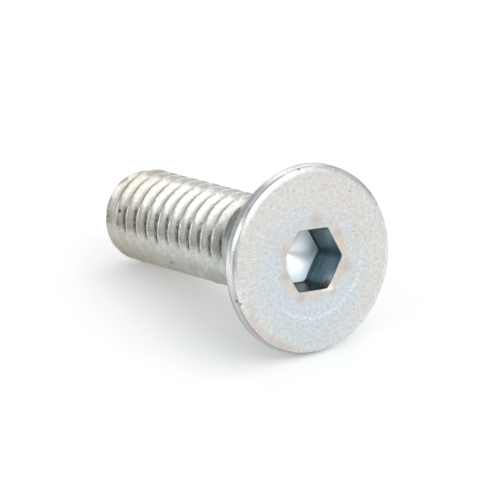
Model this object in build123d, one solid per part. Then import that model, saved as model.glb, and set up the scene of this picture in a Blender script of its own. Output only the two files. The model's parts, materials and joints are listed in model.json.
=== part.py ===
from build123d import *
from math import asin, atan, atan2, ceil, cos, degrees, floor, hypot, radians, sin, tan
import os

# Countersunk socket screw, 1/4-20 UNC by 20 mm, cold headed in one piece from steel wire, with a rolled
# thread. Sizes are millimetres and degrees. The screw lies as it comes to rest on a floor at Z = 0: on the
# rim of its head and on the last thread crest before its point. The head faces -Y, the point +Y, and the
# origin is the middle of the base. The screw is built upright, flat face at Z = 0 and point up, and laid
# down at the end.

# Head. A station is a distance along the screw from the flat face of the head towards the point.
overall_length = 20.4
head_diameter = 12.4
head_land = 0.85  # height of the straight rim, with the round of its front edge
face_edge_radius = 0.4
rim_edge_radius = 0.15  # between the rim and the countersink
countersink_angle = 82.0
neck_fillet_radius = 0.8  # between the countersink and the shank

# Hex socket
hex_across_flats = 4.0
hex_turn = 5.83  # from +X to a corner, towards the floor
socket_depth = 2.6  # at the corners, where the hollow floor starts
socket_floor_angle = 150.0
socket_edge_chamfer = 0.06

# Thread, right-handed
crest_diameter = 6.32
thread_pitch = 25.4 / 20
flank_angle = 60.0
crest_flat = thread_pitch / 8
root_radius = 0.14
first_groove_station = 6.34  # where the groove reaches its full depth, which it keeps to the point
first_groove_turn = 170.0  # from +X towards the floor, at that station
runout_turns = 0.6  # the groove rises out of the shank over this many turns
runout_rise = 1.1  # and over them it rises this many times its depth
point_diameter = 4.5
point_length = 0.7

# Worked out from the sizes above
head_radius = head_diameter / 2
crest_radius = crest_diameter / 2
hex_corner_radius = hex_across_flats / 2 / cos(radians(30))
punch_lead = socket_depth  # the punch starts this far in front of the face
countersink_half = radians(countersink_angle / 2)
countersink_end = head_land + (head_radius - crest_radius) / tan(countersink_half)
point_start = overall_length - point_length
flank_half = radians(flank_angle / 2)
groove_width = thread_pitch - crest_flat
root_half_width = root_radius * cos(flank_half)
root_edge = (groove_width / 2 - root_half_width) / tan(flank_half)
thread_depth = root_edge + root_radius * (1 - sin(flank_half))
groove_lift = 0.4 * crest_flat  # the groove's section stands this proud of the crest, clear of its next turn

# The lowest line of the lying screw touches the floor at the round behind its rim, and at the last crest
# that the groove leaves before the point.
lowest_turn = 90.0
turns_to_lowest = ((lowest_turn - first_groove_turn) % 360) / 360
groove_at_lowest = first_groove_station + turns_to_lowest * thread_pitch
grooves_before_point = floor((point_start - groove_at_lowest + groove_width / 2) / thread_pitch)
last_groove_start = groove_at_lowest + grooves_before_point * thread_pitch - groove_width / 2
ends_on_crest = point_start > last_groove_start + groove_width
crest_rest_station = point_start if ends_on_crest else last_groove_start
rim_rest_station = head_land - rim_edge_radius * tan(countersink_half / 2)
rest_rise = head_radius - rim_edge_radius - crest_radius
rest_run = crest_rest_station - rim_rest_station
rest_tilt = atan2(rest_rise, rest_run) + asin(rim_edge_radius / hypot(rest_rise, rest_run))

# Where the middle of the flat face lies, with the whole screw centred along Y
face_height = crest_rest_station * sin(rest_tilt) + crest_radius * cos(rest_tilt)
edge_reach = (head_radius - face_edge_radius) * sin(rest_tilt) + face_edge_radius * (1 - cos(rest_tilt))
point_reach = overall_length * cos(rest_tilt) + point_diameter / 2 * sin(rest_tilt)
face_place = (edge_reach - point_reach) / 2


def make_blank():
    """The headed blank: flat face, rim, countersink, shank and point, turned about the screw's axis."""
    outline = Polyline(
        (0, 0),
        (head_radius, 0),
        (head_radius, head_land),
        (crest_radius, countersink_end),
        (crest_radius, point_start),
        (point_diameter / 2, overall_length),
        (0, overall_length),
        close=True,
    )
    rounds = (
        (head_radius, 0, face_edge_radius),
        (head_radius, head_land, rim_edge_radius),
        (crest_radius, countersink_end, neck_fillet_radius),
    )
    section = make_face(outline)
    for corner_radius, corner_station, round_radius in rounds:
        corner = section.vertices().sort_by_distance(Vector(corner_radius, corner_station))[0]
        section = fillet(corner, round_radius)
    return revolve(Plane.XZ * section, Axis.Z)


def groove_section():
    """The groove in a plane through the axis, with X = 0 at the crest: straight flanks and a round root."""
    top_half_width = groove_width / 2 + groove_lift * tan(flank_half)
    sides = Polyline(
        (-root_edge, -root_half_width),
        (groove_lift, -top_half_width),
        (groove_lift, top_half_width),
        (-root_edge, root_half_width),
    )
    root = ThreePointArc((-root_edge, root_half_width), (-thread_depth, 0), (-root_edge, -root_half_width))
    return Pos(crest_radius, 0, 0) * Plane.XZ * make_face([*sides.edges(), root])


def cut_thread(blank):
    """The rolled thread, one turn after another, and its run-out towards the head on a widening helix."""
    section = groove_section()
    full_turn = sweep(section, path=Helix(thread_pitch, thread_pitch, crest_radius), is_frenet=True)

    runout_length = runout_turns * thread_pitch
    runout_cone = atan(runout_rise * thread_depth / runout_length)
    runout_path = Helix(
        thread_pitch / cos(runout_cone), runout_length, crest_radius, cone_angle=degrees(runout_cone)
    )
    runout = Rot(180, 0, 0) * sweep(section, path=runout_path, is_frenet=True)

    start = Pos(0, 0, first_groove_station) * Rot(0, 0, first_groove_turn)
    threaded = blank - start * runout
    turns = ceil((overall_length - first_groove_station + groove_width) / thread_pitch)
    for turn in range(turns):
        threaded -= Pos(0, 0, turn * thread_pitch) * start * full_turn
    return threaded


def cut_socket(screw):
    """The punched hex socket: straight flats, a hollow cone for a floor, and a broken edge at the mouth."""
    nose_slope = 1 / tan(radians(socket_floor_angle / 2))
    nose = Polyline(
        (0, -punch_lead),
        (head_radius, -punch_lead),
        (head_radius, socket_depth - (head_radius - hex_corner_radius) * nose_slope),
        (0, socket_depth + hex_corner_radius * nose_slope),
        close=True,
    )
    hexagon = RegularPolygon(hex_corner_radius, 6, rotation=hex_turn)
    shank = Pos(0, 0, -punch_lead) * extrude(hexagon, overall_length)
    punch = shank & revolve(Plane.XZ * make_face(nose), Axis.Z)
    socketed = screw - punch
    face = socketed.faces().filter_by(GeomType.PLANE).sort_by(Axis.Z)[0]
    return chamfer(face.inner_wires()[0].edges(), socket_edge_chamfer)


screw = cut_socket(cut_thread(make_blank()))
lay_down = Pos(0, face_place, face_height) * Rot(-90 - degrees(rest_tilt), 0, 0)
screw = lay_down * screw
screw.label = "screw"

os.makedirs("parts", exist_ok=True)
export_step(screw, "parts/screw.step")
print("rest tilt", round(degrees(rest_tilt), 3), "thread depth", round(thread_depth, 3))
print("face centre", round(face_place, 4), round(face_height, 4))
print("countersink end", round(countersink_end, 3))
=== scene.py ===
import json
from math import atan2, ceil, cos, degrees, exp, floor, hypot, pi, radians, sin, tan

import bmesh
import bpy
from mathutils import Matrix, Vector, noise


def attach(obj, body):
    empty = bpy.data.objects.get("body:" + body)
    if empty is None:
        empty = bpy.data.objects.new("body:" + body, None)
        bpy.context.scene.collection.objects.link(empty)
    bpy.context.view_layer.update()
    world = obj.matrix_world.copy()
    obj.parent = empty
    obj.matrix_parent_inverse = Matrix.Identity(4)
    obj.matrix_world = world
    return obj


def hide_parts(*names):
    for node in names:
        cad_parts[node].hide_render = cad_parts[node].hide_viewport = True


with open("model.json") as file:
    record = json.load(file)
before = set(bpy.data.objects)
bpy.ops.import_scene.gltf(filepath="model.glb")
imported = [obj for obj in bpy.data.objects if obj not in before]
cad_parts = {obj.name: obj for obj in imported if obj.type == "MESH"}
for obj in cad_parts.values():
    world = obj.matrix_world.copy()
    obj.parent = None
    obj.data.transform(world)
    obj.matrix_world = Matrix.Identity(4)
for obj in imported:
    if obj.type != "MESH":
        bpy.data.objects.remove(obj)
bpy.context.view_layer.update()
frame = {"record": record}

# ---------------------------------------------------------------------------------------------
# The screw: one piece of low-carbon steel wire, cold headed to a flat countersunk head with a
# punched hex socket, then thread rolled 1/4-20 UNC and zinc plated. It is modelled upright in
# millimetres, flat face at Z = 0 and point up, and laid down at the end.
# ---------------------------------------------------------------------------------------------
overall_length = 20.4
head_radius = 6.2
face_radius = 5.6  # of the flat, inside a shallow margin
rim_height = 0.85
rim_round = 0.15  # between the rim and the countersink
cone_angle = 41  # degrees from the axis
neck_fillet = 0.8
shank_radius = 3.16
pitch = 1.27
flank_angle = 30  # degrees, half of the thread's
root_round = 0.14
crest_round = 0.12  # left by the rolling die
crest_half_flat = pitch / 16
groove_station = 6.34  # full depth from here to the point
groove_turn = radians(170)  # from +X towards the floor
runout_turns = 0.6
point_station = 19.7
point_radius = 2.25
point_blend = 0.05  # how softly the crests pass into the point
steps = 128  # around the shank
weld_gap = 0.004

cone_half = radians(cone_angle)
flank_half = radians(flank_angle)
cone_end = rim_height + (head_radius - shank_radius) / tan(cone_half)
shank_start = cone_end + neck_fillet * tan(cone_half / 2)
root_edge = (pitch / 2 - crest_half_flat - root_round * cos(flank_half)) / tan(flank_half)
groove_depth = root_edge + root_round * (1 - sin(flank_half))


def arc(centre, radius, start, end, parts):
    """Points on an arc in a plane through the axis, as (distance from the axis, station)."""
    turns = [radians(start + (end - start) * i / parts) for i in range(parts + 1)]
    return [(centre[0] + radius * cos(a), centre[1] + radius * sin(a)) for a in turns]


def between_points(first, last, shares):
    """Points on the straight line from one point to another, at these shares of the way."""
    return [tuple(a + (b - a) * share for a, b in zip(first, last)) for share in shares]


# Half of the groove's outline from the middle of a crest to the root, as (depth, run): a rounded
# crest, a straight flank and the round root. The other half mirrors it.
crest_start = crest_half_flat - pitch / 2 - crest_round * tan(flank_half)
crest_arc = arc((-crest_round, crest_start), crest_round, 0, 90 - flank_angle, 4)
root_arc = arc((root_round - groove_depth, 0), root_round, 270 - flank_angle, 180, 3)
flank = between_points(crest_arc[-1], root_arc[0], (0.25, 0.5, 0.75))
half_outline = [(0.0, -pitch / 2), *crest_arc, *flank, *root_arc]
outline = half_outline + [(depth, -run) for depth, run in half_outline[-2::-1]]

# One turn is spun from the outline and repeated, and the turns are welded into one thread.
body = bmesh.new()
first_turn = floor((shank_start - groove_station) / pitch) - 1
first_station = groove_station + first_turn * pitch
thread_turns = ceil((overall_length - first_station) / pitch)
start = [body.verts.new((shank_radius + depth, 0, first_station + run)) for depth, run in outline]
line = [body.edges.new(pair) for pair in zip(start, start[1:])]
bmesh.ops.spin(
    body,
    geom=start + line,
    cent=(0, 0, 0),
    axis=(0, 0, 1),
    dvec=(0, 0, pitch / steps),
    angle=2 * pi,
    steps=steps,
)
one_turn = body.verts[:] + body.edges[:] + body.faces[:]
for turn in range(1, thread_turns):
    more = bmesh.ops.duplicate(body, geom=one_turn)["geom"]
    moved = [g for g in more if isinstance(g, bmesh.types.BMVert)]
    bmesh.ops.translate(body, vec=(0, 0, turn * pitch), verts=moved)
to_groove = Matrix.Rotation(groove_turn, 3, "Z")
bmesh.ops.rotate(body, cent=(0, 0, 0), matrix=to_groove, verts=body.verts)
bmesh.ops.remove_doubles(body, verts=body.verts, dist=weld_gap)

# The groove rises out of the shank over its first part turn, and the crests fade into the point.
point_slope = (shank_radius - point_radius) / (overall_length - point_station)
for v in body.verts:
    reach = hypot(v.co.x, v.co.y)
    around = (atan2(v.co.y, v.co.x) - groove_turn) / (2 * pi)
    nearest_turn = around + round((v.co.z - groove_station) / pitch - around)
    share = min(1, max(0, nearest_turn / runout_turns + 1))
    share = share * share * (3 - 2 * share)
    radius = shank_radius - (shank_radius - reach) * share
    point_limit = shank_radius + (point_station - v.co.z) * point_slope
    blend = max(0, point_blend - abs(radius - point_limit)) / point_blend
    radius = min(radius, point_limit) - blend * blend * point_blend / 4
    v.co.x *= radius / reach
    v.co.y *= radius / reach

for station, way in ((shank_start, -1), (overall_length, 1)):
    bmesh.ops.bisect_plane(
        body,
        geom=body.verts[:] + body.edges[:] + body.faces[:],
        plane_co=(0, 0, station),
        plane_no=(0, 0, way),
        clear_outer=True,
    )


def grow(ring, rows):
    """Extrudes a round ring of edges through rows of (distance from the axis, station)."""
    for radius, station in rows:
        grown = bmesh.ops.extrude_edge_only(body, edges=ring)["geom"]
        ring = [e for e in grown if isinstance(e, bmesh.types.BMEdge)]
        for v in {v for e in ring for v in e.verts}:
            reach = hypot(v.co.x, v.co.y)
            v.co = (v.co.x / reach * radius, v.co.y / reach * radius, station)
    return ring


# The sheared end of the wire: a broken edge, then a flat end closed at its middle.
open_edges = [e for e in body.edges if e.is_boundary]
point_edges = [e for e in open_edges if e.verts[0].co.z > point_station]
end_ring = grow(point_edges, [(radius, overall_length) for radius in (2.05, 1.4, 0.5)])
bmesh.ops.contextual_create(body, geom=end_ring)

# The head, from the shank outwards: neck fillet, countersink, round, a rim that barrels in towards
# the face, and the face with its shallow margin.
barrel_radius = 1.3
barrel_station = 0.694  # the rim is straight down to here
barrel_turn = -23.96  # degrees, where the rim meets the margin
margin_radius = 0.8
margin_turn = -52.4  # degrees
under_station = rim_height - rim_round * tan(cone_half / 2)
neck = arc((shank_radius + neck_fillet, shank_start), neck_fillet, 180, 180 + cone_angle, 5)
under = arc((head_radius - rim_round, under_station), rim_round, 90 - cone_angle, 0, 4)
cone = between_points(neck[-1], under[0], (0.2, 0.4, 0.6, 0.8))
barrel = arc((head_radius - barrel_radius, barrel_station), barrel_radius, 0, barrel_turn, 6)
margin = arc((face_radius, margin_radius), margin_radius, margin_turn, -90, 9)
face = [(radius, 0) for radius in (5.1, 4.7, 4.2, 3.8, 3.4, 3.0)]
neck_edges = [e for e in open_edges if e.verts[0].co.z < point_station]
face_ring = grow(neck_edges, neck[1:] + cone + under + barrel + margin[1:] + face)

# The hex socket: a hexagon on the flat face, its corners a little round, then its broken edge, its
# walls, and the hollow cone that the punch left for a floor.
across_flats = 4.0
hex_turn = radians(5.83)
socket_depth = 2.6
floor_slope = 1 / tan(radians(75))
corner_radius = across_flats / 2 / cos(radians(30))
corner_fill = 0.045  # how much metal rounds each corner
corner_spread = 2.4  # degrees
collar = 0.4  # width of the strip of face around the mouth

# Rows of vertices in the strip and down the broken edge, as (distance outside the walls, station)
edge_rows = ((0.25, 0), (0.14, 0), (0.06, 0), (0.025, 0.012), (0.007, 0.035), (0, 0.07))
mouth_station = edge_rows[-1][1]
hexagon = bmesh.ops.create_circle(
    body,
    segments=6,
    radius=corner_radius + collar,
    matrix=Matrix.Rotation(hex_turn - pi / 2, 4, "Z"),
)["verts"]
sides = list({e for v in hexagon for e in v.link_edges})
made = bmesh.ops.subdivide_edges(body, edges=sides, cuts=15)
ring = list(set(sides + [g for g in made["geom_split"] if isinstance(g, bmesh.types.BMEdge)]))
bmesh.ops.bridge_loops(body, edges=ring + face_ring)


def step_in(ring, place):
    """Extrudes the hexagon's ring of edges and puts each new vertex where a rule says."""
    grown = bmesh.ops.extrude_edge_only(body, edges=ring)["geom"]
    ring = [e for e in grown if isinstance(e, bmesh.types.BMEdge)]
    for v in {v for e in ring for v in e.verts}:
        v.co = place(v.co)
    return ring


def wall_line(co, out, station):
    """The point this far outside the hexagon's walls, on the line from the axis through co."""
    off_corner = (degrees(atan2(co.y, co.x) - hex_turn) + 30) % 60 - 30
    reach = across_flats / 2 / cos(radians(30 - abs(off_corner)))
    reach += out - corner_fill * exp(-((off_corner / corner_spread) ** 2))
    return Vector((co.x, co.y, 0)).normalized() * reach + Vector((0, 0, station))


def floor_station(co):
    """Where the socket's floor lies below a point."""
    return socket_depth + (corner_radius - hypot(co.x, co.y)) * floor_slope


def wall_point(co, share):
    """The point this share of the way down the wall from the socket's mouth."""
    return Vector((co.x, co.y, mouth_station + (floor_station(co) - mouth_station) * share))


for out, station in edge_rows:
    ring = step_in(ring, lambda co: wall_line(co, out, station))
for share in (0.2, 0.4, 0.6, 0.8, 0.975):
    ring = step_in(ring, lambda co: wall_point(co, share))
for share in (0.985, 0.95, 0.85, 0.8, 0.75, 0.6, 0.45, 0.3):
    ring = step_in(ring, lambda co: Vector((co.x * share, co.y * share, floor_station(co * share))))
bmesh.ops.contextual_create(body, geom=ring)
bmesh.ops.recalc_face_normals(body, faces=body.faces)

# Wear and making marks: nicks in the rim, dents in its margin, a burr at the socket's mouth and
# nicks in the thread. Each is a place, a width, a depth and the way that the metal moves.
marks = (
    ((-1.16, -5.95, 0.12), 0.22, 0.07, (0.1, 0.5, 0.8)),
    ((-1.75, -5.7, 0.1), 0.14, 0.03, (0.1, 0.5, 0.8)),
    ((-0.5, -6.02, 0.1), 0.12, 0.03, (0.0, 0.5, 0.8)),
    ((-5.6, 2.3, 0.1), 0.3, 0.03, (0.7, -0.3, 0.6)),
    ((-3.9, 4.6, 0.08), 0.25, 0.03, (0.5, -0.6, 0.6)),
    ((5.6, -1.8, 0.1), 0.25, 0.03, (-0.7, 0.3, 0.6)),
    ((1.2, 2.22, 0.0), 0.13, 0.07, (0.3, 0.5, -0.8)),
    ((0.8, 2.2, 0.0), 0.1, 0.03, (0.2, 0.4, -0.8)),
    ((-2.96, -1.11, 18.29), 0.14, 0.08, (0.94, 0.34, 0)),
    ((-2.74, 1.58, 12.63), 0.16, 0.07, (0.87, -0.5, 0)),
    ((-3.11, -0.58, 19.65), 0.16, 0.08, (0.98, 0.18, 0)),
    ((-2.3, -2.1, 14.9), 0.12, 0.05, (0.75, 0.66, 0)),
    ((-2.6, 1.7, 9.2), 0.14, 0.04, (0.84, -0.55, 0)),
)
for mark_place, width, depth, way in marks:
    mark_place, way = Vector(mark_place), Vector(way).normalized()
    for v in body.verts:
        gap = (v.co - mark_place).length
        if gap < 2.5 * width:
            v.co += way * depth * exp(-((gap / width) ** 2))

# The rolling die fills the crests a little unevenly, and the header leaves the face and, more so,
# its margin not quite flat.
flank_radius = 2.7  # the crests' unevenness grows from here out
crest_unevenness = 0.03
face_start = 2.9  # clear of the socket's mouth
face_unevenness = 0.012
margin_start = 5.2
margin_end = 0.165  # the station where the margin meets the rim
margin_unevenness = 0.014
for v in body.verts:
    reach = hypot(v.co.x, v.co.y)
    if shank_start + 0.3 < v.co.z < overall_length - 0.1:
        crest_share = max(0, (reach - flank_radius) / (shank_radius - flank_radius))
        wave = noise.noise(Vector((v.co.x * 1.1, v.co.y * 1.1, v.co.z * 1.6)))
        wave += 0.6 * noise.noise(v.co * 4.1 + Vector((7, 3, 1)))
        sink = max(0, crest_share * (0.004 + crest_unevenness * wave))
        v.co.x *= (reach - sink) / reach
        v.co.y *= (reach - sink) / reach
    elif v.co.z < margin_end and reach > face_start:
        v.co.z += 0.008 + face_unevenness * noise.noise(v.co * 0.55 + Vector((2, 9, 4)))
        if reach > margin_start:
            v.co.z += margin_unevenness * noise.noise(v.co * 0.95 + Vector((5, 1, 4)))

# Finishes by place: 0 the headed face, rim and countersink, 1 the thread and the end, 2 the socket.
for f in body.faces:
    middle = f.calc_center_median()
    f.smooth = True
    if middle.z > shank_start:
        f.material_index = 1
    if hypot(middle.x, middle.y) < corner_radius and 0.05 < middle.z < shank_start:
        f.material_index = 2
for e in body.edges:
    e.smooth = e.calc_face_angle() < radians(30)

# The screw at rest, on the round behind its rim and its last crest before the point. The frame's
# socket mount is in the middle of the flat face and looks out along the axis.
mounts = {mount["name"]: mount for mount in frame["record"]["mounts"]}
face_centre = Vector(mounts["hex_socket"]["pos_m"])
outlook = mounts["hex_socket"]["axis"]
rest_tilt = atan2(outlook[2], -outlook[1])
lay_down = Matrix.Rotation(-pi / 2 - rest_tilt, 4, "X")
bmesh.ops.scale(body, vec=(0.001, 0.001, 0.001), verts=body.verts)
bmesh.ops.rotate(body, cent=(0, 0, 0), matrix=lay_down, verts=body.verts)
bmesh.ops.translate(body, vec=face_centre, verts=body.verts)
mesh = bpy.data.meshes.new("screw_body")
body.to_mesh(mesh)
body.free()
screw = bpy.data.objects.new("screw_body", mesh)
bpy.context.collection.objects.link(screw)
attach(screw, "root")
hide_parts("screw")


def linear(code):
    """A colour written as sRGB hex, as the linear RGBA the shaders take."""
    parts = [int(code[i : i + 2], 16) / 255 for i in (1, 3, 5)]
    return [c / 12.92 if c <= 0.04045 else ((c + 0.055) / 1.055) ** 2.4 for c in parts] + [1.0]


def add(tree, kind, inputs=(), **settings):
    """One node, with its settings, and its inputs set to values or linked from other nodes."""
    node = tree.nodes.new(kind)
    for name, value in settings.items():
        setattr(node, name, value)
    for name, value in dict(inputs).items():
        if isinstance(value, bpy.types.Node):
            value = next(output for output in value.outputs if output.enabled)
        if isinstance(value, bpy.types.NodeSocket):
            tree.links.new(value, node.inputs[name])
        else:
            node.inputs[name].default_value = value
    return node


def new_finish(name):
    """Gives the screw a metal named for its finish. Returns its nodes, and where a point lies: its
    place in mm from the middle of the upright screw's face, the part of that across the axis, and
    its station."""
    metal = bpy.data.materials.new(name)
    metal.use_nodes = True
    tree = metal.node_tree
    shader = tree.nodes["Principled BSDF"]
    shader.inputs["Metallic"].default_value = 1.0
    upright = Matrix.Rotation(pi / 2 + rest_tilt, 3, "X")
    to_mm = {
        "Vector": add(tree, "ShaderNodeTexCoord").outputs["Object"],
        "Location": upright @ (face_centre * -1000),
        "Rotation": (pi / 2 + rest_tilt, 0, 0),
        "Scale": (1000, 1000, 1000),
    }
    place = add(tree, "ShaderNodeMapping", to_mm)
    station = add(tree, "ShaderNodeSeparateXYZ", {0: place}).outputs[2]
    across = add(tree, "ShaderNodeVectorMath", {0: place, 1: (1, 1, 0)}, operation="MULTIPLY")
    mesh.materials.append(metal)
    return tree, shader, place, across, station


def cover(tree, *ramps):
    """How far a coat covers a point: ramps multiplied together. Each is a value, where its ramp
    starts and ends, and how far the coat covers at either end, from none to all unless given."""
    total = None
    for value, *ends in ramps:
        start, end, least, most = (*ends, 0.0, 1.0)[:4]
        ramp = {0: value, 1: start, 2: end, 3: least, 4: most}
        share = add(tree, "ShaderNodeMapRange", ramp, interpolation_type="SMOOTHSTEP")
        if total is None:
            total = share
        else:
            total = add(tree, "ShaderNodeMath", {0: total, 1: share}, operation="MULTIPLY")
    return total


def beside(tree, value, middle):
    """How far a value lies from the middle of a band."""
    gap = add(tree, "ShaderNodeMath", {0: value, 1: middle}, operation="SUBTRACT")
    return add(tree, "ShaderNodeMath", {0: gap}, operation="ABSOLUTE")


def spots(tree, place, core, spread):
    """How far soft round spots cover a point. Each is a middle, a radius and how far it covers as
    far out as its core."""
    total = 0.0
    for middle, radius, most in spread:
        gap = add(tree, "ShaderNodeVectorMath", {0: place, 1: middle}, operation="DISTANCE")
        spot = cover(tree, (gap, core, radius, most, 0))
        total = add(tree, "ShaderNodeMath", {0: total, 1: spot}, operation="MAXIMUM")
    return total


def lay_coats(tree, colour, coats):
    """A colour under coats, each with how far it covers."""
    for share, coat in coats:
        coat = linear(coat) if isinstance(coat, str) else coat
        colour = add(tree, "ShaderNodeMix", {0: share, 6: colour, 7: coat}, data_type="RGBA")
    return colour


def wear_finish(tree, shader, colour, roughness, height, strength, relief):
    """Gives a metal its colour, roughness and relief. The relief is in mm."""
    tree.links.new(colour.outputs[2], shader.inputs["Base Color"])
    tree.links.new(roughness.outputs[0], shader.inputs["Roughness"])
    grit = {"Strength": strength, "Distance": relief / 1000, "Height": height}
    tree.links.new(add(tree, "ShaderNodeBump", grit).outputs[0], shader.inputs["Normal"])


# Clear zinc plate over the cold-headed face, rim and countersink. The header die leaves a matte,
# sandy face, blue-grey where the plate is fresh around the middle and warmer outside, brownish
# stains around the socket, and a finer, glossier rim. The sand is drawn coarser than it is, to show.
tree, shader, place, across, station = new_finish("zinc_plated_headed_face")
cloud_size = 1.818  # mm, as every pattern's size here is
patch_size = 2.381
speck_size = 0.4545
grain_size = 0.2273
sand_size = 0.1111
scratch_width = 0.125  # of the radial scratches at scratch_radius, and wider further out
scratch_radius = 4.5
rim_line_length = 1.24
rim_line_width = 0.1111
rim_radius = 6.05
line_radius = 3.82
reach = add(tree, "ShaderNodeVectorMath", {0: across}, operation="LENGTH")
outward = add(tree, "ShaderNodeVectorMath", {0: across}, operation="NORMALIZE")
clouds = {"Vector": place, "Scale": 1 / cloud_size, "Detail": 4.0, "Roughness": 0.55}
clouds = add(tree, "ShaderNodeTexNoise", clouds)
patches = {"Vector": place, "Scale": 1 / patch_size, "Detail": 3.0, "W": 3.0}
patches = add(tree, "ShaderNodeTexNoise", patches, noise_dimensions="4D")
specks = {"Vector": place, "Scale": 1 / speck_size, "Detail": 2.0, "W": 8.0}
specks = add(tree, "ShaderNodeTexNoise", specks, noise_dimensions="4D")
grain = {"Vector": place, "Scale": 1 / grain_size, "Detail": 5.0, "Roughness": 0.75}
grain = add(tree, "ShaderNodeTexNoise", grain)
sand = {"Vector": place, "Scale": 1 / sand_size, "Detail": 3.0, "Roughness": 0.6}
sand = add(tree, "ShaderNodeTexNoise", sand)
split = add(tree, "ShaderNodeSeparateXYZ", {0: outward}).outputs
leftward = add(tree, "ShaderNodeMath", {0: split[0], 1: -1.0}, operation="MULTIPLY")
angle = add(tree, "ShaderNodeMath", {0: split[1], 1: leftward}, operation="ARCTAN2")

# The plate turns from blue-grey to warm some way out, further out towards the bottom.
lean = add(tree, "ShaderNodeVectorMath", {0: place, 1: (0.1, -0.3, 0)}, operation="DOT_PRODUCT")
wander = add(tree, "ShaderNodeMath", {0: clouds, 1: 1.9, 2: reach}, operation="MULTIPLY_ADD")
wander = add(tree, "ShaderNodeMath", {0: wander, 1: lean}, operation="ADD")

# A broken ring line from the header die, and radial scratches out at the left.
ring_way = {0: place, 1: (0.4, 0.92, 0)}
ring_way = add(tree, "ShaderNodeVectorMath", ring_way, operation="DOT_PRODUCT")
ring_gap = beside(tree, reach, line_radius)
broken = (grain, 0.36, 0.6, 0.1, 0.8)
ring_line = cover(tree, (ring_gap, 0.03, 0.2, 1, 0), (ring_way, 0.2, 3.2), broken)
fan = {0: angle, 1: scratch_radius / scratch_width}
fan = add(tree, "ShaderNodeMath", fan, operation="MULTIPLY")
fan = add(tree, "ShaderNodeCombineXYZ", {0: fan, 1: reach})
scratches = {"Vector": fan, "Scale": 1.0, "Detail": 3.0, "Roughness": 0.6}
scratches = add(tree, "ShaderNodeTexNoise", scratches)
scratched_way = {0: outward, 1: (-0.97, 0.25, 0)}
scratched_way = add(tree, "ShaderNodeVectorMath", scratched_way, operation="DOT_PRODUCT")
scratched = cover(tree, (scratched_way, 0.6, 0.93), (reach, 4.1, 5.0))
scratch_coat = (cover(tree, (scratches, 0.36, 0.62)), "#f8f6f0")
scratch_tone = lay_coats(tree, linear("#d3d0c8"), [scratch_coat])

# Brown stains around the socket and along the lower left edge, and painted shade in the rim's nicks.
socket_stains = (
    ((0.5, -2.55, 0), 0.7, 1),
    ((2.1, -1.3, 0), 0.45, 1),
    ((2.5, 1.0, 0), 0.6, 1),
    ((-1.25, 2.3, 0), 0.5, 1),
    ((-2.1, -1.0, 0), 0.5, 1),
    ((-2.3, 0.6, 0), 0.5, 1),
    ((1.3, 2.3, 0), 0.35, 1),
)
nick_shade_spots = (
    ((-5.96, 1.42, 0.3), 0.19, 0.7),
    ((-5.79, 1.62, 0.12), 0.14, 0.7),
    ((-0.35, -6.05, 0.2), 0.16, 0.7),
    ((-1.75, 5.6, 0.0), 0.09, 0.7),
)
stains = spots(tree, place, 0.1, socket_stains)
lower_left = {0: outward, 1: (-0.68, 0.73, 0)}
lower_left = add(tree, "ShaderNodeVectorMath", lower_left, operation="DOT_PRODUCT")
edge_gap = beside(tree, reach, 5.85)
edge_stain = cover(tree, (edge_gap, 0.05, 0.35, 1.6, 0), (lower_left, 0.86, 0.97))
stains = add(tree, "ShaderNodeMath", {0: stains, 1: edge_stain}, operation="MAXIMUM")
blotch = cover(tree, (grain, 0.36, 0.62, 0.1, 0.6))
stains = add(tree, "ShaderNodeMath", {0: stains, 1: blotch}, operation="MULTIPLY")
# Painted shade in the rim's nicks.
painted_shade = spots(tree, place, 0.04, nick_shade_spots)

# A rim drawn round by the die, with painted shade at the lower left and under its edge, and a broken
# line of painted shade in the crease where it meets the margin.
onto_rim = (reach, rim_radius, 6.12)
rim = cover(tree, onto_rim)
lines_round = {0: angle, 1: head_radius / rim_line_length}
lines_round = add(tree, "ShaderNodeMath", lines_round, operation="MULTIPLY")
lines_down = {0: station, 1: 1 / rim_line_width}
lines_down = add(tree, "ShaderNodeMath", lines_down, operation="MULTIPLY")
drawn = add(tree, "ShaderNodeCombineXYZ", {0: lines_round, 1: lines_down})
drawn = {"Vector": drawn, "Scale": 1.0, "Detail": 4.0, "Roughness": 0.65}
drawn = add(tree, "ShaderNodeTexNoise", drawn)
bright_lines = (cover(tree, (drawn, 0.36, 0.64)), "#f6f6f6")
rim_tone = lay_coats(tree, linear("#d6d4d5"), [bright_lines])
rim_shade = cover(tree, onto_rim, (lower_left, 0.55, 0.85, 0, 0.85))
edge_shade = {0: rim_shade, 1: cover(tree, (station, 0.6, 0.78))}
edge_shade = add(tree, "ShaderNodeMath", edge_shade, operation="MULTIPLY")
# A broken line of painted shade in the crease.
crease_gap = beside(tree, reach, 6.09)
broken = (clouds, 0.35, 0.6, 0.1, 0.6)
crease = cover(tree, (crease_gap, 0.01, 0.06, 1, 0), broken, (station, 0.4, 0.3))

# A painted highlight on the burr at the lower right edge of the socket, which lies just past that
# wall.
past_wall = {0: place, 1: (-0.1016, 0.9948, 0)}
past_wall = add(tree, "ShaderNodeVectorMath", past_wall, operation="DOT_PRODUCT")
burr_highlight = add(tree, "ShaderNodeVectorMath", {0: place, 1: (0.85, 2.2, 0)}, operation="DISTANCE")
burr_highlight = cover(tree, (burr_highlight, 0.3, 0.65, 1, 0), (past_wall, 2.22, 2.08), (grain, 0.35, 0.5, 0.3, 1))

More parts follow.
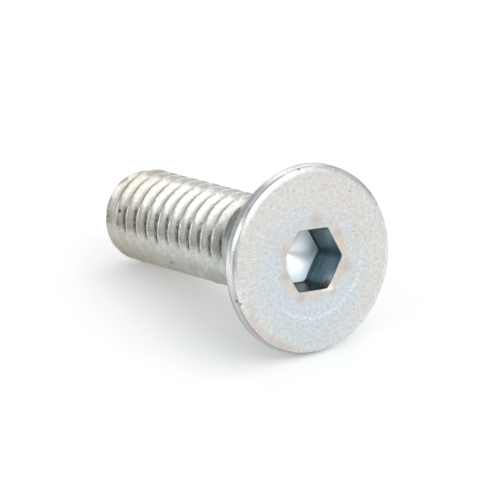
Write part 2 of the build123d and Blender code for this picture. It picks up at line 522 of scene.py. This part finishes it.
# The countersink has thinner, greener plate.
behind = cover(tree, (station, 0.9, 1.6))
pale_clouds = (cover(tree, (clouds, 0.35, 0.65)), "#bcc1bb")
behind_tone = lay_coats(tree, linear("#a9afa9"), [pale_clouds])
face_coats = (
    (cover(tree, (wander, 3.7, 6.4)), "#ebe8e3"),
    (cover(tree, (patches, 0.5, 0.72, 0, 0.45)), "#e8dcd3"),
    (cover(tree, (reach, 5.55, 5.8, 0, 0.5)), "#e9ecec"),
    (ring_line, "#f8fbfc"),
    (cover(tree, (reach, 2.35, 3.05, 1, 0), (clouds, 0.4, 0.6, 0.35, 1)), "#e6ddd0"),
    (stains, "#d2b9a5"),
    (cover(tree, (station, 0.008, 0.03), (reach, 2.7, 2.6)), "#b79f86"),
    (add(tree, "ShaderNodeMath", {0: scratched, 1: 0.35}, operation="MULTIPLY"), scratch_tone),
    (cover(tree, (specks, 0.69, 0.75, 0, 0.5)), "#a39487"),
)
colour = lay_coats(tree, linear("#dfe6e9"), face_coats)
bright_grain = (cover(tree, (grain, 0.32, 0.66)), "#ffffff")
grain_tone = lay_coats(tree, linear("#e2e5e6"), [bright_grain])
grained = {0: 1.0, 6: colour, 7: grain_tone}
colour = add(tree, "ShaderNodeMix", grained, data_type="RGBA", blend_type="MULTIPLY")
edge_coats = (
    (rim, rim_tone),
    (rim_shade, "#bdbbbb"),
    (edge_shade, "#8e8b8a"),
    (crease, "#8d8379"),
    (painted_shade, "#6f665c"),
    (burr_highlight, "#fdf6e8"),
    (behind, behind_tone),
)
colour = lay_coats(tree, colour, edge_coats)
roughness = {0: grain, 1: 0.3, 2: 0.7, 3: 0.38, 4: 0.52}
roughness = add(tree, "ShaderNodeMapRange", roughness, interpolation_type="SMOOTHSTEP")
glossy = cover(tree, (reach, face_radius, rim_radius))
roughness = add(tree, "ShaderNodeMix", {0: glossy, 2: roughness, 3: 0.24})
roughness = add(tree, "ShaderNodeMix", {0: behind, 2: roughness, 3: 0.52})
ridges = add(tree, "ShaderNodeMath", {0: scratches, 1: scratched}, operation="MULTIPLY")
height = add(tree, "ShaderNodeMath", {0: sand, 1: 0.5, 2: grain}, operation="MULTIPLY_ADD")
height = add(tree, "ShaderNodeMath", {0: ridges, 1: 0.6, 2: height}, operation="MULTIPLY_ADD")
wear_finish(tree, shader, colour, roughness, height, strength=0.3, relief=0.03)

# Clear zinc plate over the rolled thread: burnished by the dies and streaked round the shank, paler
# and bluer on the lower side towards the neck, brown towards the point, painted shade on the lower
# side, beside the neck, on the crests and in the roots, darkest along one side, and painted light in
# the deep flanks.
tree, shader, place, across, station = new_finish("zinc_plated_rolled_thread")
streak_length = 1.111  # mm round the shank
streak_width = 0.1667  # mm along it
mottle_size = 0.4167
scratch_size = 0.1818
reach = add(tree, "ShaderNodeVectorMath", {0: across}, operation="LENGTH")
outward = add(tree, "ShaderNodeVectorMath", {0: across}, operation="NORMALIZE")
streaks = {"Vector": place, "Scale": (1 / streak_length, 1 / streak_length, 1 / streak_width)}
streaks = add(tree, "ShaderNodeMapping", streaks)
streak = {"Vector": streaks, "Scale": 1.0, "Detail": 4.0, "Roughness": 0.6}
streak = add(tree, "ShaderNodeTexNoise", streak)
mottle = {"Vector": place, "Scale": 1 / mottle_size, "Detail": 5.0, "Roughness": 0.75}
mottle = add(tree, "ShaderNodeTexNoise", mottle)
fine = {"Vector": place, "Scale": 1 / scratch_size, "Detail": 3.0, "Roughness": 0.6}
fine = add(tree, "ShaderNodeTexNoise", fine)
onto_thread = (station, 5.2, 6.2)
threaded = cover(tree, onto_thread)
# The deep flanks are painted paler: painted light against their shade.
deep = cover(tree, (reach, 2.9, 2.66))
below = {0: outward, 1: (-0.5, 0.87, 0)}
below = add(tree, "ShaderNodeVectorMath", below, operation="DOT_PRODUCT")

# The side with painted shade in its roots, with an edge that clumps along the streaks and mottles.
clumps = add(tree, "ShaderNodeMath", {0: streak, 1: 0.5}, operation="MULTIPLY")
clumps = add(tree, "ShaderNodeMath", {0: mottle, 1: 0.5, 2: clumps}, operation="MULTIPLY_ADD")
side = {0: outward, 1: (-0.985, -0.174, 0)}
side = add(tree, "ShaderNodeVectorMath", side, operation="DOT_PRODUCT")
side = add(tree, "ShaderNodeMath", {0: clumps, 1: 0.3, 2: side}, operation="MULTIPLY_ADD")
# Painted shade in the roots along one side, and all round in the deepest part.
side_shade = cover(tree, (side, 1.04, 1.14, 0, 0.95), (station, 19.2, 18.9), (reach, 2.9, 2.68))
root_shade = cover(tree, (reach, 2.78, 2.6, 0, 0.12))
painted_shade = add(tree, "ShaderNodeMath", {0: root_shade, 1: side_shade}, operation="MAXIMUM")
patchy = cover(tree, (fine, 0.3, 0.6, 0.6, 1.0), onto_thread)
painted_shade = add(tree, "ShaderNodeMath", {0: painted_shade, 1: patchy}, operation="MULTIPLY")
thread_rust = (
    ((-2.82, -1.02, 18.33), 0.17, 0.9),
    ((-2.45, 1.78, 13.08), 0.17, 0.4),
    ((-3.07, -0.52, 19.63), 0.22, 0.6),
    ((-3.15, -0.25, 18.41), 0.42, 0.3),
)
rust = spots(tree, place, 0.05, thread_rust)
# Paler and bluer on the lower side, towards the neck.
bluer_below = ((station, 13.0, 6.0, 0, 0.6), (fine, 0.35, 0.6), (below, -0.1, 0.6))
# Painted shade on the lower side of the thread.
shade_below = ((below, -0.1, 0.6), (streak, 0.34, 0.62, 0.35, 0.75))
tip = ((station, 12.0, 21.0, 0, 0.75), (streak, 0.35, 0.65, 1.0, 0.35))
# Painted shade on the thread beside the neck.
neck_shade = ((station, 7.6, 5.4, 0, 0.95), (streak, 0.3, 0.6, 0.5, 1.0))
# The crests are painted darker: painted shade.
crest_shade = ((reach, 2.94, 3.1), onto_thread, (fine, 0.4, 0.6, 0.15, 0.65))
thread_coats = (
    (cover(tree, (mottle, 0.32, 0.66)), "#f0f1ee"),
    (cover(tree, *bluer_below), "#d9e8ec"),
    (cover(tree, *shade_below), "#b2b8b1"),
    (cover(tree, (streak, 0.35, 0.65, 0, 0.3)), "#c3c1b5"),
    (cover(tree, *tip), "#c0ae98"),
    (cover(tree, *neck_shade), "#98a29b"),
    (cover(tree, *crest_shade), "#bcb3a4"),
    (deep, "#eceae4"),
    (painted_shade, "#625d4c"),
    (rust, "#4b3426"),
)
colour = lay_coats(tree, linear("#d3d4ca"), thread_coats)
roughness = {0: fine, 1: 0.3, 2: 0.7, 3: 0.16, 4: 0.28}
roughness = add(tree, "ShaderNodeMapRange", roughness, interpolation_type="SMOOTHSTEP")
roughness = {0: deep, 1: 0.25, 2: roughness}
roughness = add(tree, "ShaderNodeMath", roughness, operation="MULTIPLY_ADD")
roughness = add(tree, "ShaderNodeMix", {0: threaded, 2: 0.36, 3: roughness})
height = add(tree, "ShaderNodeMath", {0: streak, 1: 0.8, 2: fine}, operation="MULTIPLY_ADD")
wear_finish(tree, shader, colour, roughness, height, strength=0.16, relief=0.03)

# Thin zinc plate inside the punched socket: dark blue-grey walls faintly banded across the punch's
# way in, a painted highlight on the upper wall, painted shade in the corners and along the lowest
# wall, and a bright pressed floor with painted shade towards one side.
tree, shader, place, across, station = new_finish("zinc_plated_punched_socket")
band_length = 1.429  # mm round the walls
band_width = 0.1818  # mm down them
reach = add(tree, "ShaderNodeVectorMath", {0: across}, operation="LENGTH")
bands = {"Vector": place, "Scale": (1 / band_length, 1 / band_length, 1 / band_width)}
bands = add(tree, "ShaderNodeMapping", bands)
bands = {"Vector": bands, "Scale": 1.0, "Detail": 4.0, "Roughness": 0.6}
bands = add(tree, "ShaderNodeTexNoise", bands)
# A painted highlight on the upper wall.
upper_wall = {0: place, 1: (0.6, -0.8, 0)}
upper_wall = add(tree, "ShaderNodeVectorMath", upper_wall, operation="DOT_PRODUCT")
lowest = {0: place, 1: (-0.1, 1, 0)}
lowest = add(tree, "ShaderNodeVectorMath", lowest, operation="DOT_PRODUCT")
# Painted shade in the corners and along the lowest wall.
corner = cover(tree, (reach, 2.1, 2.3, 0, 0.75))
lowest_wall = cover(tree, (lowest, 1.7, 1.95, 0, 0.95))
painted_shade = add(tree, "ShaderNodeMath", {0: corner, 1: lowest_wall}, operation="MAXIMUM")
rust = spots(tree, place, 0.15, [((1.1, 2.0, 0.35), 0.6, 0.8)])
pressed_floor = cover(tree, (station, 2.55, 2.66))
rightward = add(tree, "ShaderNodeSeparateXYZ", {0: place}).outputs[0]
floor_shade = cover(tree, (rightward, 0.7, 2.1))
floor_tone = lay_coats(tree, linear("#e3e8eb"), [(floor_shade, "#a7b0b5")])
socket_coats = (
    (cover(tree, (bands, 0.3, 0.7)), "#b0c3c8"),
    (cover(tree, (upper_wall, 1.0, 1.9, 0, 0.7)), "#b9d6d8"),
    (painted_shade, "#4e585c"),
    (rust, "#6b5645"),
    (pressed_floor, floor_tone),
)
colour = lay_coats(tree, linear("#869eaa"), socket_coats)
roughness = add(tree, "ShaderNodeMix", {0: pressed_floor, 2: 0.3, 3: 0.24})
wear_finish(tree, shader, colour, roughness, bands, strength=0.3, relief=0.02)

# ---------------------------------------------------------------------------------------------
# The floor: a plain white sweep of painted board. It glows a little, but only to the camera and
# in reflections, so that it reads as white and keeps the screw's shadow.
# ---------------------------------------------------------------------------------------------
sweep_half_width = 1.5  # metres
sweep_glow = 0.17
ground = bmesh.new()
bmesh.ops.create_grid(ground, x_segments=1, y_segments=1, size=sweep_half_width)
ground_mesh = bpy.data.meshes.new("floor")
ground.to_mesh(ground_mesh)
ground.free()
sweep = bpy.data.objects.new("floor", ground_mesh)
bpy.context.collection.objects.link(sweep)
white = bpy.data.materials.new("white_studio_sweep")
white.use_nodes = True
tree = white.node_tree
tree.nodes.clear()
matte = add(tree, "ShaderNodeBsdfDiffuse", {"Color": linear("#f8f8f8")})
light_path = add(tree, "ShaderNodeLightPath").outputs
seen = {0: light_path["Is Camera Ray"], 1: light_path["Is Glossy Ray"]}
seen = add(tree, "ShaderNodeMath", seen, operation="MAXIMUM")
strength = add(tree, "ShaderNodeMath", {0: seen, 1: sweep_glow}, operation="MULTIPLY")
glow = add(tree, "ShaderNodeEmission", {"Color": linear("#ffffff"), "Strength": strength})
both = add(tree, "ShaderNodeAddShader", {0: matte, 1: glow})
add(tree, "ShaderNodeOutputMaterial", {"Surface": both})
ground_mesh.materials.append(white)

# ---------------------------------------------------------------------------------------------
# The light: a pale room, darker towards the floor and in one corner behind the screw, and four
# soft flat lamps around it.
# ---------------------------------------------------------------------------------------------
world = bpy.data.worlds.new("studio")
bpy.context.scene.world = world
world.use_nodes = True
tree = world.node_tree
room = tree.nodes["Background"]
room.inputs["Color"].default_value = linear("#f0f3f6")
toward = add(tree, "ShaderNodeTexCoord").outputs["Generated"]
rise = add(tree, "ShaderNodeSeparateXYZ", {0: toward}).outputs[2]
walls = {0: rise, 1: 0.0, 2: 0.3, 3: 0.42, 4: 0.78}
walls = add(tree, "ShaderNodeMapRange", walls, interpolation_type="SMOOTHSTEP")
corner = {0: toward, 1: (-0.42, 0.85, 0.32)}
corner = add(tree, "ShaderNodeVectorMath", corner, operation="DOT_PRODUCT")
corner = {0: corner, 1: 0.78, 2: 0.94}
corner = add(tree, "ShaderNodeMapRange", corner, interpolation_type="SMOOTHSTEP")
level = add(tree, "ShaderNodeMix", {0: corner, 2: walls, 3: 0.46})
tree.links.new(level.outputs[0], room.inputs["Strength"])
softbox_distance = 0.5  # metres, from the screw


def direction(azimuth, elevation):
    """The way from the screw to something at these angles in degrees, azimuth 0 in front of it."""
    a, e = radians(azimuth), radians(elevation)
    return Vector((sin(a) * cos(e), -cos(a) * cos(e), sin(e)))


def softbox(name, azimuth, elevation, width, height, level):
    """A flat rectangular lamp that faces the screw and looks as bright as its level. Its width and
    height are in metres."""
    lamp = bpy.data.lights.new(name, "AREA")
    lamp.shape = "RECTANGLE"
    lamp.size = width
    lamp.size_y = height
    lamp.energy = level * width * height * pi
    away = direction(azimuth, elevation)
    box = bpy.data.objects.new(name, lamp)
    bpy.context.collection.objects.link(box)
    turn = away.to_track_quat("Z", "Y").to_matrix().to_4x4()
    box.matrix_world = Matrix.Translation(away * softbox_distance) @ turn


softbox("front_softbox", azimuth=13, elevation=36, width=0.5, height=0.48, level=0.91)
softbox("left_softbox", azimuth=-100, elevation=25, width=0.44, height=0.24, level=1.2)
softbox("right_softbox", azimuth=98, elevation=54, width=0.4, height=0.4, level=0.5)
softbox("back_softbox", azimuth=145, elevation=40, width=0.4, height=0.4, level=0.5)

# ---------------------------------------------------------------------------------------------
# The camera: a long lens in front of the head, to its left and above it. It is level, and the
# middle of the flat face lies a little to the right of its view's middle and just below it.
# ---------------------------------------------------------------------------------------------
camera_azimuth = -35.09
camera_elevation = 22.26
camera_distance = 288.09  # mm from the flat face's middle, along the view
camera_left = 4.058  # mm from there, across the view
camera_rise = 0.637  # mm from there, up the view
back = direction(camera_azimuth, camera_elevation)
right = Vector((cos(radians(camera_azimuth)), sin(radians(camera_azimuth)), 0.0))
up = back.cross(right)
camera = bpy.data.objects.new("camera", bpy.data.cameras.new("camera"))
bpy.context.collection.objects.link(camera)
camera.data.sensor_width = 36.0
camera.data.lens = 323.4
camera.data.clip_start = 0.01
camera.data.clip_end = 10.0
away = back * camera_distance - right * camera_left + up * camera_rise
turn = Matrix((right, up, back)).transposed().to_4x4()
camera.matrix_world = Matrix.Translation(face_centre + away / 1000) @ turn
bpy.context.scene.camera = camera
bpy.context.scene.view_settings.view_transform = "Standard"
